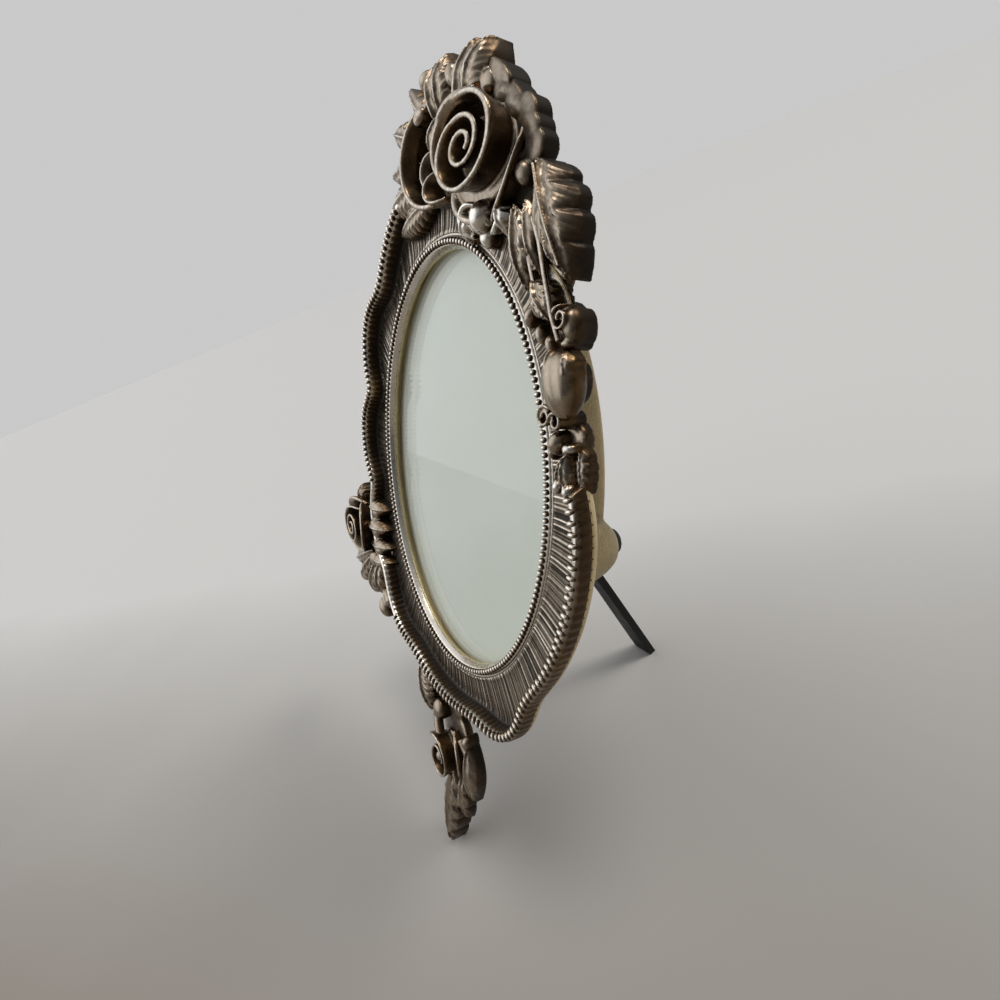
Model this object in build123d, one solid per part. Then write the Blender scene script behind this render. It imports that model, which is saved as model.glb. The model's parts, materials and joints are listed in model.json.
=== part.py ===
from build123d import *
import math
import os

os.makedirs("parts", exist_ok=True)

# Oval picture frame: a cast tray with a beaded border, a deep ring behind it that holds the glass and
# the velvet back, applied castings of roses and leaves, and a hinged strut that it leans on.
# Sizes are millimetres and degrees. The frame is drawn flat, face up, with the middle of the oval as
# its origin and the plane of the oval's beads as height zero, and is then stood up leaning back.

# Overall sizes
sight_width = 94.0
sight_height = 120.0
lean_angle = 24.0
tip_drop = 130.3
overrun = 1.0

# Tray casting
rim_height = 4.4
rim_thickness = 2.4
field_depth = 1.2
floor_thickness = 2.6
rim_floor = 0.6
underside_step = 1.0
underside_inset = 0.8
underside_reach = 3.4
lip_thickness = 2.8
lip_drop = 0.5
opening_inset = 1.6
mount_plate_height = 0.4

# What lies in the ring, from the front
glass_thickness = 2.0
photo_thickness = 0.4
card_thickness = 1.6
panel_thickness = 5.0
glass_cover = 2.1
bore_gap = 0.3

# Back ring and its standoff bosses
ring_wall = 4.0
boss_base_radius = 7.8
boss_end_radius = 5.0
boss_edge_radius = 1.2
boss_length = 1.2
boss_inset = 0.6
boss_height_share = -0.13
bumper_radius = 3.1
bumper_cap_radius = 2.0
bumper_recess = 0.8
bumper_rise = 2.2
bumper_cap_rise = 0.7

# Easel strut and its hinge
strut_angle = 38.0
strut_head_width = 19.0
strut_head_length = 13.0
strut_neck_length = 10.0
strut_leg_width = 4.2
strut_foot_width = 8.5
strut_thickness = 3.0
strut_gap = 1.2
hinge_height = 11.0
hinge_length = 18.0
hinge_radius = 1.8
hinge_pin_radius = 0.75
hinge_pin_gap = 0.05
hinge_lift = 0.1
hinge_leaf_height = 12.0
hinge_leaf_thickness = 0.8
knuckle_count = 3
knuckle_gap = 0.3
strut_end_gap = 0.5
rivet_radius = 1.3
rivet_head_height = 0.5
rivet_shank_radius = 0.8
rivet_grip = 2.2
rivet_spread_share = 0.33

# Turn clips
clip_length = 14.0
clip_width = 6.0
clip_thickness = 0.8
clip_gap = 0.1
clip_hole_gap = 0.15
clip_screw_radius = 1.1
clip_screw_length = 6.0
clip_screw_gap = 0.05
clip_head_radius = 2.2
clip_head_height = 1.1
clip_head_edge_radius = 0.35
clip_slot_width = 0.6
clip_slot_depth = 0.5
clip_angle = 40.0

# Derived sizes
half_width = sight_width / 2
half_height = sight_height / 2
face_back = -field_depth - floor_thickness
glass_back = face_back - glass_thickness
photo_back = glass_back - photo_thickness
card_back = photo_back - card_thickness
ring_back = card_back - panel_thickness
opening_half_width = half_width - opening_inset
opening_half_height = half_height - opening_inset
fill_half_width = opening_half_width + glass_cover
fill_half_height = opening_half_height + glass_cover
bore_half_width = fill_half_width + bore_gap
bore_half_height = fill_half_height + bore_gap
ring_half_width = bore_half_width + ring_wall
ring_half_height = bore_half_height + ring_wall


# How a round form stands: upwards from its place, or hanging down from it
upwards = (Align.CENTER, Align.CENTER, Align.MIN)
downwards = (Align.CENTER, Align.CENTER, Align.MAX)


def spot(x_share, y_share):
    """A place on the frame, as shares of the beaded oval's half width and half height."""
    return (x_share * half_width, y_share * half_height)


def slab(face, low, high):
    """A flat outline given thickness from one height to another."""
    return Pos(0, 0, low) * extrude(face, high - low)


def whole(shape):
    """The main solid of a shape that was cut."""
    return max(shape.solids(), key=lambda solid: solid.volume)


# Border outline: each row is the notch where a scallop starts and the crown of its curve
scallop_shares = [
    ((-0.777, 0.85), (0.0, 1.267)),
    ((0.777, 0.85), (1.157, 0.583)),
    ((1.049, 0.333), (1.251, 0.15)),
    ((1.317, -0.05), (1.23, -0.433)),
    ((0.979, -0.767), (0.84, -1.017)),
    ((0.468, -1.1), (0.0, -1.183)),
    ((-0.468, -1.1), (-0.84, -1.017)),
    ((-0.979, -0.767), (-1.234, -0.5)),
    ((-1.128, -0.217), (-1.313, 0.067)),
    ((-1.049, 0.333), (-1.157, 0.583)),
]


def border_outline():
    arcs = []
    for index, (notch, crown) in enumerate(scallop_shares):
        following = scallop_shares[(index + 1) % len(scallop_shares)][0]
        arcs.append(ThreePointArc(spot(*notch), spot(*crown), spot(*following)))
    return make_face(Curve() + arcs)


# Plates behind the applied castings: centre shares and radius, as a share of the oval's half height
plate_shares = [
    (0.51, 1.22, 0.19),
    (0.25, 1.32, 0.15),
    (0.04, 1.3, 0.16),
    (-0.22, 1.3, 0.13),
    (0.45, 1.37, 0.14),
    (0.72, 1.08, 0.11),
    (0.84, 0.96, 0.16),
    (0.96, 0.92, 0.12),
    (0.99, 0.78, 0.08),
    (1.08, 0.63, 0.08),
    (1.06, 0.46, 0.08),
    (1.16, 0.28, 0.07),
    (-1.32, -0.58, 0.17),
    (-1.2, -0.7, 0.13),
    (-1.16, -0.84, 0.12),
    (-0.28, -1.25, 0.11),
    (0.0, -1.25, 0.16),
    (0.06, -1.45, 0.15),
    (0.12, -1.66, 0.11),
    (0.26, -1.4, 0.09),
    (0.1, -1.83, 0.09),
    (0.07, -1.98, 0.06),
]


def frame_face():
    outline = border_outline()
    outer = offset(outline, rim_thickness / 2)
    inner = offset(outline, -rim_thickness / 2)
    rim_foot = -field_depth - rim_floor
    step_foot = rim_foot - underside_step
    tray = slab(outer, rim_foot, rim_height) - slab(inner, -field_depth, rim_height + overrun)
    tray += slab(offset(outline, -underside_inset), step_foot, rim_foot)
    tray += slab(offset(outline, -underside_reach), face_back, step_foot)
    lip = Ellipse(opening_half_width + lip_thickness, opening_half_height + lip_thickness)
    tray += slab(lip, face_back, -lip_drop)
    plates = Sketch() + [
        Pos(*spot(x_share, y_share)) * Circle(radius_share * half_height)
        for x_share, y_share, radius_share in plate_shares
    ]
    tray += slab(plates - inner, face_back, mount_plate_height)
    opening = Ellipse(opening_half_width, opening_half_height)
    return whole(tray - slab(opening, face_back - overrun, rim_height + overrun))


def back_ring():
    ring = slab(Ellipse(ring_half_width, ring_half_height), ring_back, face_back)
    boss_back = ring_back - boss_length
    for side in (-1, 1):
        boss = Cone(boss_end_radius, boss_base_radius, face_back - boss_back, align=upwards)
        boss = fillet(boss.faces().sort_by(Axis.Z)[0].edges(), boss_edge_radius)
        ring += Pos(*boss_spot(side), boss_back) * boss
        ring -= Pos(*boss_spot(side), boss_back) * Cylinder(bumper_radius, bumper_recess, align=upwards)
    bore = Ellipse(bore_half_width, bore_half_height)
    ring -= slab(bore, boss_back - overrun, face_back + overrun)
    for x, y, _ in clip_spots():
        ring -= Pos(x, y, ring_back) * Cylinder(clip_screw_radius + clip_screw_gap, 2 * clip_screw_length)
    return whole(ring)


def boss_spot(side):
    return (side * (ring_half_width - boss_inset), boss_height_share * half_height)


def rubber_bumper(side):
    """A pad with a bevelled end, pressed into the recess of its boss."""
    pad = Cylinder(bumper_radius, bumper_recess + bumper_rise, align=upwards)
    cap = Cone(bumper_cap_radius, bumper_radius, bumper_cap_rise, align=downwards)
    return Pos(*boss_spot(side), ring_back - boss_length - bumper_rise) * (pad + cap)


def clip_spots():
    """Where the clip screws stand on the ring's rear edge, and which way each clip points in."""
    middle_width = bore_half_width + ring_wall / 2
    middle_height = bore_half_height + ring_wall / 2
    spots = []
    for angle in (clip_angle, 180 - clip_angle, 180 + clip_angle, 360 - clip_angle):
        turn = math.radians(angle)
        x, y = middle_width * math.cos(turn), middle_height * math.sin(turn)
        inward = math.degrees(math.atan2(-y / middle_height**2, -x / middle_width**2))
        spots.append((x, y, inward))
    return spots


def turn_clip(x, y, inward):
    """A flat clip that reaches in over the panel from its screw."""
    plate = SlotOverall(clip_length, clip_width) - Pos(clip_width / 2 - clip_length / 2, 0) * Circle(
        clip_screw_radius + clip_hole_gap
    )
    plate = Pos(clip_length / 2 - clip_width / 2, 0) * plate
    top = ring_back - clip_gap
    return Pos(x, y, 0) * Rot(0, 0, inward) * slab(plate, top - clip_thickness, top)


def clip_screw(x, y):
    under_head = ring_back - 2 * clip_gap - clip_thickness
    shank = Cylinder(clip_screw_radius, clip_screw_length + 2 * clip_gap + clip_thickness, align=upwards)
    head = Cylinder(clip_head_radius, clip_head_height, align=downwards)
    head = fillet(head.faces().sort_by(Axis.Z)[0].edges(), clip_head_edge_radius)
    slot = Box(2 * clip_head_radius + overrun, clip_slot_width, 2 * clip_slot_depth)
    return Pos(x, y, under_head) * (shank + head - Pos(0, 0, -clip_head_height) * slot)


# Shapes of the applied castings. Each stands on the tray's field level and is cut to fit what it meets.
leaf_crown_share = 0.72


def leaf_outline(length, width):
    """A pointed leaf along +X from its stalk."""
    upper = ThreePointArc((0, 0), (length / 2, width / 2), (length, 0))
    lower = ThreePointArc((length, 0), (length / 2, -width / 2), (0, 0))
    return make_face(Curve() + [upper, lower])


def leaf(place, turn, length, width, rise):
    """A leaf with bevelled sides, its stalk at the place given."""
    base = leaf_outline(length, width)
    crown = leaf_outline(length * leaf_crown_share, width * leaf_crown_share)
    crown = Pos(length * (1 - leaf_crown_share) / 2, 0, rise) * crown
    return Pos(*place) * Rot(0, 0, turn) * loft([base, crown], ruled=True)


def mound(place, radius, top_radius, rise):
    """A round boss with sloping sides."""
    return Pos(*place) * Cone(radius, top_radius, rise, align=upwards)


# An open rose: outer petals on a round base, with a well in the middle that holds a coil of inner petals
rose_petals = 5
rose_half_turns = 5
rose_base_share = 0.78
rose_base_top_share = 0.7
rose_base_rise_share = 0.6
rose_petal_share = 0.46
rose_petal_foot_share = 0.4
rose_petal_reach_share = 0.6
rose_petal_rise_share = 0.72
rose_well_share = 0.5
rose_well_mouth_share = 0.66
rose_well_floor_share = 0.5
rose_core_share = 0.1
rose_coil_share = 0.3
rose_wall_share = 0.1
rose_coil_drop_share = 0.04


def rose(place, turn, radius, rise):
    body = mound(place, rose_base_share * radius, rose_base_top_share * radius, rose_base_rise_share * rise)
    for index in range(rose_petals):
        bearing = math.radians(turn + index * 360 / rose_petals)
        reach = rose_petal_reach_share * radius
        centre = (place[0] + reach * math.cos(bearing), place[1] + reach * math.sin(bearing))
        foot, top = rose_petal_foot_share * radius, rose_petal_share * radius
        body += mound(centre, foot, top, rose_petal_rise_share * rise)
    well = mound(place, rose_well_share * radius, rose_well_mouth_share * radius, rise)
    body -= Pos(0, 0, rose_well_floor_share * rise) * well
    wall = rose_wall_share * radius
    pitch = rose_coil_share * radius
    coil_centre = 0
    coil_radius = rose_core_share * radius
    for half in range(rose_half_turns):
        side = 1 if half % 2 == 0 else -1
        ring = Circle(coil_radius + wall / 2) - Circle(coil_radius - wall / 2)
        half_plane = Pos(0, side * radius) * Rectangle(4 * radius, 2 * radius)
        arc = Pos(coil_centre, 0) * (ring & half_plane)
        body += Pos(*place) * Rot(0, 0, turn) * extrude(arc, rise * (1 - half * rose_coil_drop_share))
        coil_centre += side * pitch / 2
        coil_radius += pitch / 2
    return body


# A serrated leaf: lobes in pairs along a raised middle
fern_pairs = 4
fern_middle_share = 0.55
fern_first_share = 0.13
fern_pitch_share = 0.185
fern_lobe_turn = 42
fern_lobe_share = 0.62
fern_lobe_width_share = 0.3
fern_lobe_taper_share = 0.45
fern_lobe_rise_share = 0.82


def fern(place, turn, length, width, rise):
    body = leaf(place, turn, length, fern_middle_share * width, rise)
    bearing = math.radians(turn)
    for pair in range(fern_pairs):
        along_share = fern_first_share + pair * fern_pitch_share
        along = along_share * length
        start = (place[0] + along * math.cos(bearing), place[1] + along * math.sin(bearing))
        size = width * (1 - fern_lobe_taper_share * along_share)
        for side in (-1, 1):
            lobe_turn = turn + side * fern_lobe_turn
            lobe_length, lobe_width = fern_lobe_share * size, fern_lobe_width_share * size
            body += leaf(start, lobe_turn, lobe_length, lobe_width, fern_lobe_rise_share * rise)
    return body


# Lobes that spread from one root, as on an acanthus tip
fan_root_share = 0.36
fan_root_top_share = 0.3
fan_lobe_share = 0.62
fan_lobe_rise_share = 0.85


def fan(place, turn, length, width, rise, lobes, spread):
    body = mound(place, fan_root_share * width, fan_root_top_share * width, rise)
    for index in range(lobes):
        lobe_turn = turn + spread * (index / (lobes - 1) - 1 / 2)
        body += leaf(place, lobe_turn, length, fan_lobe_share * width, fan_lobe_rise_share * rise)
    return body


# A plump bud that lies along the frame on a short stem
berry_end_foot_share = 0.94
berry_end_share = 0.4
berry_stem_share = 0.8


def berry(place, turn, length, width, rise):
    radius = width / 2
    bud = Sphere(radius)
    for half in (0, 180):
        foot, tip = berry_end_foot_share * radius, berry_end_share * radius
        bud += Rot(0, 0, half) * Rot(0, 90, 0) * Cone(foot, tip, length / 2, align=upwards)
    stem = Cylinder(berry_stem_share * radius, rise - radius, align=downwards)
    return Pos(*place, rise - radius) * Rot(0, 0, turn) * (bud + stem)


# Heights of the castings' tops above the bead plane
rose_top = 9.5
leaf_top = 7.5
mid_top = 6.0
low_top = 5.0
small_top = 4.2

# Castings: place as shares of the oval's half width and half height, turn in degrees, then sizes as shares
# of the half height
rose_shares = {
    "crest_rose": (0.54, 1.19, 100, 0.25, rose_top),
    "crest_rosebud": (0.1, 1.27, 30, 0.135, leaf_top),
    "garland_scroll": (1.18, 0.613, 200, 0.055, small_top),
    "garland_curl": (1.05, 0.35, 60, 0.05, small_top),
    "spray_rose": (-1.39, -0.58, 40, 0.21, leaf_top),
    "spray_bud": (-0.94, -1.04, 10, 0.08, low_top),
    "foot_rose": (0.08, -1.53, 150, 0.155, leaf_top),
}
fern_shares = {
    "crest_shoulder_leaf": (0.7, 1.3, 293, 0.33, 0.15, low_top),
    "garland_fern_leaf": (1.0, 1.05, 300, 0.33, 0.2, mid_top),
    "garland_inner_leaves": (0.86, 0.93, 262, 0.3, 0.14, small_top),
    "lower_leaf": (-0.36, -1.2, 312, 0.26, 0.15, low_top),
    "foot_calyx": (0.1, -1.68, 266, 0.53, 0.2, low_top),
}
fan_shares = {
    "crest_bow": (0.55, 0.985, 270, 0.11, 0.12, low_top, 3, 110),
    "crest_crown_leaf_right": (0.53, 1.4, 80, 0.13, 0.17, mid_top, 5, 150),
    "crest_crown_leaf_left": (0.2, 1.43, 105, 0.15, 0.15, mid_top, 4, 130),
    "crest_side_leaves": (-0.16, 1.28, 170, 0.28, 0.2, low_top, 5, 130),
    "garland_acanthus": (1.21, 0.3, 275, 0.17, 0.12, low_top, 3, 40),
    "spray_inner_leaves": (-1.2, -0.45, 5, 0.22, 0.17, low_top, 3, 100),
    "spray_lower_leaves": (-1.15, -0.76, 250, 0.22, 0.18, low_top, 4, 130),
}
leaf_shares = {
    "garland_ribbed_leaf": (0.95, 0.73, 312, 0.18, 0.1, small_top),
    "garland_small_leaf": (1.12, 0.29, 255, 0.11, 0.08, small_top),
    "foot_side_leaf": (0.27, -1.31, 283, 0.32, 0.12, low_top),
}
berry_shares = {"garland_berry": (1.17, 0.457, 285, 0.2, 0.13, leaf_top)}


def castings():
    """Each applied casting with its name, standing on the field, before it is cut to fit."""
    raw = {}
    for name, (x_share, y_share, turn, radius_share, top) in rose_shares.items():
        raw[name] = rose(spot(x_share, y_share), turn, radius_share * half_height, top + field_depth)
    makers = ((fern, fern_shares), (fan, fan_shares), (leaf, leaf_shares), (berry, berry_shares))
    for make, shares in makers:
        for name, (x_share, y_share, turn, length_share, width_share, top, *rest) in shares.items():
            place, rise = spot(x_share, y_share), top + field_depth
            length, width = length_share * half_height, width_share * half_height
            raw[name] = make(place, turn, length, width, rise, *rest)
    return {name: Pos(0, 0, -field_depth) * shape for name, shape in raw.items()}


def fitted_castings(tray):
    """Cuts each casting to the tray and to those already in place, so that they seat on each other."""
    placed = {}
    for name, raw in castings().items():
        shape = raw - tray
        for other in placed.values():
            if shape.bounding_box().overlaps(other.bounding_box(), 0):
                shape = shape - other
        placed[name] = whole(shape)
    return placed


def filling(thickness_top, thickness_bottom):
    """One oval layer of what lies in the ring."""
    return slab(Ellipse(fill_half_width, fill_half_height), thickness_bottom, thickness_top)


# Hinge line: along X, just behind the panel
hinge_level = ring_back - hinge_lift - hinge_radius
hinge_line = (0, hinge_height, hinge_level)
knuckle_length = (hinge_length - (knuckle_count - 1) * knuckle_gap) / knuckle_count
knuckle_step = knuckle_length + knuckle_gap
knuckle_room = 2 * (hinge_radius + knuckle_gap)


def knuckle(offset_along):
    barrel = Cylinder(hinge_radius, knuckle_length)
    return Pos(*hinge_line) * Pos(offset_along, 0) * Rot(0, 90, 0) * barrel


def bored(shape):
    pin_space = Cylinder(hinge_pin_radius + hinge_pin_gap, hinge_length + overrun)
    return shape - Pos(*hinge_line) * Rot(0, 90, 0) * pin_space


def rivet_offsets(side):
    along = rivet_spread_share * hinge_length
    across = side * (hinge_radius + hinge_leaf_height) / 2
    return [(-along, across), (along, across)]


def hinge_panel_leaf():
    """The fixed leaf, riveted to the panel above the hinge line."""
    outline = Pos(0, hinge_height + hinge_leaf_height / 2) * Rectangle(hinge_length, hinge_leaf_height)
    plate = slab(outline, ring_back - hinge_leaf_thickness, ring_back)
    room = Box(knuckle_length + 2 * knuckle_gap, knuckle_room, 2 * hinge_radius)
    body = plate - Pos(0, hinge_height, ring_back) * room + knuckle(-knuckle_step) + knuckle(knuckle_step)
    for x, y in rivet_offsets(1):
        body -= Pos(x, hinge_height + y, ring_back) * Cylinder(rivet_shank_radius, 2 * rivet_grip)
    return bored(body)


def rivet(x, y, under_head, direction):
    """A flat-headed rivet. Its shank runs from the head towards +Z or -Z."""
    body = Cylinder(rivet_radius, rivet_head_height, align=downwards)
    body += Cylinder(rivet_shank_radius, rivet_grip, align=upwards)
    if direction < 0:
        body = Rot(180, 0, 0) * body
    return Pos(x, hinge_height + y, under_head) * body


# The moving side is drawn folded flat and then swung open about the hinge line
leaf_inner = hinge_level + hinge_radius - hinge_leaf_thickness / 2 - strut_gap / 2
strut_inner = leaf_inner - hinge_leaf_thickness
strut_outer = strut_inner - strut_thickness
strut_start = hinge_height - hinge_radius - strut_end_gap
lean = math.radians(lean_angle)
hinge_above_table = (tip_drop + hinge_height) * math.cos(lean) + hinge_level * math.sin(lean)
strut_reach = hinge_above_table / math.cos(math.radians(strut_angle) - lean)
strut_length = strut_reach + strut_thickness


def swing(shape):
    """Turns a folded piece about the hinge line to where it stands open."""
    return Pos(*hinge_line) * Rot(strut_angle, 0, 0) * Pos(*hinge_line).inverse() * shape


def easel_strut():
    """A wide head that the hinge is riveted to, and a slender leg that widens a little to its foot."""
    half_head, half_leg, half_foot = strut_head_width / 2, strut_leg_width / 2, strut_foot_width / 2
    head_end = strut_start - strut_head_length
    neck_end = head_end - strut_neck_length
    foot_end = hinge_height - strut_length
    right = [(half_head, strut_start), (half_head, head_end), (half_leg, neck_end), (half_foot, foot_end)]
    left = [(-x, y) for x, y in reversed(right)]
    board = slab(make_face(Polyline(*right, *left, close=True)), strut_outer, strut_inner)
    for x, y in rivet_offsets(-1):
        board -= Pos(x, hinge_height + y, strut_inner) * Cylinder(rivet_shank_radius, 2 * rivet_grip)
    return swing(board)


def hinge_strut_leaf():
    """The moving leaf, riveted to the strut's inner face."""
    outline = Pos(0, hinge_height - hinge_leaf_height / 2) * Rectangle(hinge_length, hinge_leaf_height)
    body = slab(outline, strut_inner, leaf_inner)
    room = Box(knuckle_length + 2 * knuckle_gap, knuckle_room, 2 * knuckle_room)
    for side in (-1, 1):
        body -= Pos(side * knuckle_step, hinge_height, leaf_inner) * room
    body += knuckle(0)
    for x, y in rivet_offsets(-1):
        body -= Pos(x, hinge_height + y, leaf_inner) * Cylinder(rivet_shank_radius, 2 * rivet_grip)
    return swing(bored(body))


def hinge_pin():
    return Pos(*hinge_line) * Rot(0, 90, 0) * Cylinder(hinge_pin_radius, hinge_length)


# Everything, flat
tray = frame_face()
pieces = {"frame_face": tray, "back_ring": back_ring()}
pieces.update(fitted_castings(tray))
pieces["glass_pane"] = filling(face_back, glass_back)
pieces["photo_insert"] = filling(glass_back, photo_back)
pieces["backing_card"] = filling(photo_back, card_back)
panel = filling(card_back, ring_back)
for x, y in rivet_offsets(1):
    panel -= Pos(x, hinge_height + y, ring_back) * Cylinder(rivet_shank_radius, 2 * rivet_grip)
pieces["easel_panel"] = panel
pieces["rubber_bumper_left"] = rubber_bumper(-1)
pieces["rubber_bumper_right"] = rubber_bumper(1)
clip_names = ["upper_right", "upper_left", "lower_left", "lower_right"]
for name, place in zip(clip_names, clip_spots()):
    pieces["turn_clip_" + name] = turn_clip(*place)
pieces["clip_screws"] = Compound([clip_screw(x, y) for x, y, _ in clip_spots()])
pieces["hinge_panel_leaf"] = hinge_panel_leaf()
panel_leaf_outer = ring_back - hinge_leaf_thickness
pieces["panel_rivets"] = Compound([rivet(x, y, panel_leaf_outer, 1) for x, y in rivet_offsets(1)])
pieces["hinge_pin"] = hinge_pin()
pieces["easel_strut"] = easel_strut()
pieces["hinge_strut_leaf"] = hinge_strut_leaf()
pieces["strut_rivets"] = Compound([swing(rivet(x, y, leaf_inner, -1)) for x, y in rivet_offsets(-1)])


def stood_up(shape):
    """Leans the flat frame back and sets the finial's tip on the table."""
    rise = Pos(0, tip_drop * math.sin(lean), tip_drop * math.cos(lean))
    return rise * Rot(90 - lean_angle, 0, 0) * shape


standing = {name: stood_up(shape) for name, shape in pieces.items()}

# The finial and the strut are ground flat where they meet the table
table = Box(4 * sight_width, 4 * sight_height, 2 * sight_height, align=downwards)
for name in ("foot_calyx", "easel_strut"):
    standing[name] = whole(standing[name] - table)

box = Compound(list(standing.values())).bounding_box()
centre = Pos(-(box.min.X + box.max.X) / 2, -(box.min.Y + box.max.Y) / 2, -box.min.Z)
for name, shape in standing.items():
    export_step(centre * shape, "parts/" + name + ".step")
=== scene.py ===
import json
import math

import bmesh
import bpy
import numpy as np
from mathutils import Matrix, Vector


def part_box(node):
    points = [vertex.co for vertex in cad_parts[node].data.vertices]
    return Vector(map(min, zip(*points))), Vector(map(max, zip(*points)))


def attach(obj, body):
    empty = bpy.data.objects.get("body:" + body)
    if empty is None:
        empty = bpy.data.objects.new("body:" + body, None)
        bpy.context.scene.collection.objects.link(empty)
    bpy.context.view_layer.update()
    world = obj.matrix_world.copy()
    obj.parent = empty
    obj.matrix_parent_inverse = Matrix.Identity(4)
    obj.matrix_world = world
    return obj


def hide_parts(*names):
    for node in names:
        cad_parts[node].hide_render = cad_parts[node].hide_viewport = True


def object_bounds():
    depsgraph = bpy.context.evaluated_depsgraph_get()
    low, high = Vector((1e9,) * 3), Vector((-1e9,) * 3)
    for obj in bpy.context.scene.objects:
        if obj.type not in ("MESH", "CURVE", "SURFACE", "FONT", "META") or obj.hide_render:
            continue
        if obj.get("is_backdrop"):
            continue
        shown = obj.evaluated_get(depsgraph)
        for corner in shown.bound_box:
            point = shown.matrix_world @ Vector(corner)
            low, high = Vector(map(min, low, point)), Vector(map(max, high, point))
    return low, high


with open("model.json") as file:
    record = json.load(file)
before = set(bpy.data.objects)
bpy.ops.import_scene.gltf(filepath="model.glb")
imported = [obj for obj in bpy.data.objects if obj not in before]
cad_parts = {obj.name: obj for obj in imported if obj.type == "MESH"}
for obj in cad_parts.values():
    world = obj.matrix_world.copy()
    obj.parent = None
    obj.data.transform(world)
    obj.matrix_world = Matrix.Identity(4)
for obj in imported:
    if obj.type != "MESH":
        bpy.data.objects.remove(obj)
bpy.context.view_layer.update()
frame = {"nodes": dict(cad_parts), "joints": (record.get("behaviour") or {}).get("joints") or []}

# Cast tray
# One casting in zinc alloy, silver plated and darkened: a recessed field brushed in rays, a scalloped
# rim and a lip round the oval opening. Sizes are millimetres on the flat frame, its front face up.
half_width, half_height = 47.0, 60.0
opening_inset = 1.6
field_level, tray_back = -1.2, -3.8
rim_half, rim_foot = 1.2, 0.55
lobe_pitch = 2.15
garland_end, crest_end = 6.5, 104.0  # bearings in degrees between which castings hide the rim
around = 2360  # points in each ring

for joint in frame["joints"]:
    if joint["name"].startswith("clip_turn"):
        rear = Vector(joint["axis"])
lean = math.atan2(-rear.z, rear.y)
glass_low, glass_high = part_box("glass_pane")
glass_middle = (glass_low + glass_high) / 2
glass_level = tray_back - 1.0


def on_frame(points):
    """Points on the flat frame, in millimetres, to the leaning frame in metres."""
    points = np.asarray(points, float)
    x, y, z = points[..., 0], points[..., 1], points[..., 2] - glass_level
    back = y * math.sin(lean) - z * math.cos(lean)
    up = y * math.cos(lean) + z * math.sin(lean)
    return np.stack([x, back, up], axis=-1) / 1000 + np.array(glass_middle)


def arc_through(start, crown, end, count):
    """Points along the circular arc from start over crown to end."""
    (ax, ay), (bx, by), (cx, cy) = start, crown, end
    d = 2 * (ax * (by - cy) + bx * (cy - ay) + cx * (ay - by))
    a2, b2, c2 = ax * ax + ay * ay, bx * bx + by * by, cx * cx + cy * cy
    ux = (a2 * (by - cy) + b2 * (cy - ay) + c2 * (ay - by)) / d
    uy = (a2 * (cx - bx) + b2 * (ax - cx) + c2 * (bx - ax)) / d
    radius = math.hypot(ax - ux, ay - uy)
    first, middle, last = (math.atan2(y - uy, x - ux) for x, y in (start, crown, end))
    sweep = (last - first) % (2 * math.pi)
    if (middle - first) % (2 * math.pi) > sweep:
        sweep -= 2 * math.pi
    angles = first + sweep * np.linspace(0, 1, count, endpoint=False)
    return np.stack([ux + radius * np.cos(angles), uy + radius * np.sin(angles)], axis=-1)


scallop_shares = [
    ((-0.777, 0.85), (0.0, 1.267)),
    ((0.777, 0.85), (1.157, 0.583)),
    ((1.049, 0.333), (1.251, 0.15)),
    ((1.317, -0.05), (1.23, -0.433)),
    ((0.979, -0.767), (0.84, -1.017)),
    ((0.468, -1.1), (0.0, -1.183)),
    ((-0.468, -1.1), (-0.84, -1.017)),
    ((-0.979, -0.767), (-1.234, -0.5)),
    ((-1.128, -0.217), (-1.313, 0.067)),
    ((-1.049, 0.333), (-1.157, 0.583)),
]


def smoothed(values, steps):
    """A closed run of values, blurred over that many neighbours each way."""
    reach = np.arange(-3 * steps, 3 * steps + 1)
    weights = np.exp(-0.5 * (reach / steps) ** 2)
    weights /= weights.sum()
    return sum(w * np.roll(values, -int(k), axis=0) for k, w in zip(reach, weights))


def rim_line():
    """The middle of the scalloped rim, evenly spaced, with its notches rounded, and its outward side."""
    size = np.array([half_width, half_height])
    runs = []
    for index, (notch, crown) in enumerate(scallop_shares):
        following = scallop_shares[(index + 1) % len(scallop_shares)][0]
        runs.append(arc_through(size * notch, size * crown, size * following, 400))
    points = np.concatenate(runs + [runs[0][:1]])
    length = np.concatenate([[0], np.cumsum(np.hypot(*np.diff(points, axis=0).T))])
    even = np.linspace(0, length[-1], around, endpoint=False)
    points = np.stack([np.interp(even, length, points[:, i]) for i in (0, 1)], axis=-1)
    points = smoothed(points, 22)
    along = np.roll(points, -1, axis=0) - np.roll(points, 1, axis=0)
    along = smoothed(along, 6)
    along /= np.linalg.norm(along, axis=1, keepdims=True)
    return points, np.stack([-along[:, 1], along[:, 0]], axis=-1), length[-1]


rim, rim_side, rim_length = rim_line()
bearing = np.arctan2(rim[:, 1], rim[:, 0])
border_beads = int(round(rim_length / lobe_pitch))


def oval(out):
    """Points at the rim's bearings on an oval that far outside the beaded one."""
    a, b = half_width + out, half_height + out
    reach = a * b / np.hypot(b * np.cos(bearing), a * np.sin(bearing))
    return np.stack([reach * np.cos(bearing), reach * np.sin(bearing)], axis=-1)


def level(points, height):
    """Flat points, all set at one height or each at its own."""
    return np.concatenate([points, np.broadcast_to(height, (len(points),))[:, None]], axis=1)


def ring_faces(rings, count, close=False):
    """Quads between rings of count points each."""
    faces = []
    for r in range(rings if close else rings - 1):
        a = r * count + np.arange(count)
        b = ((r + 1) % rings) * count + np.arange(count)
        faces.append(np.stack([a, np.roll(a, -1), np.roll(b, -1), b], axis=1))
    return np.concatenate(faces)


def in_scene(name, data):
    """A new object in the scene."""
    thing = bpy.data.objects.new(name, data)
    bpy.context.scene.collection.objects.link(thing)
    return thing


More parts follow.
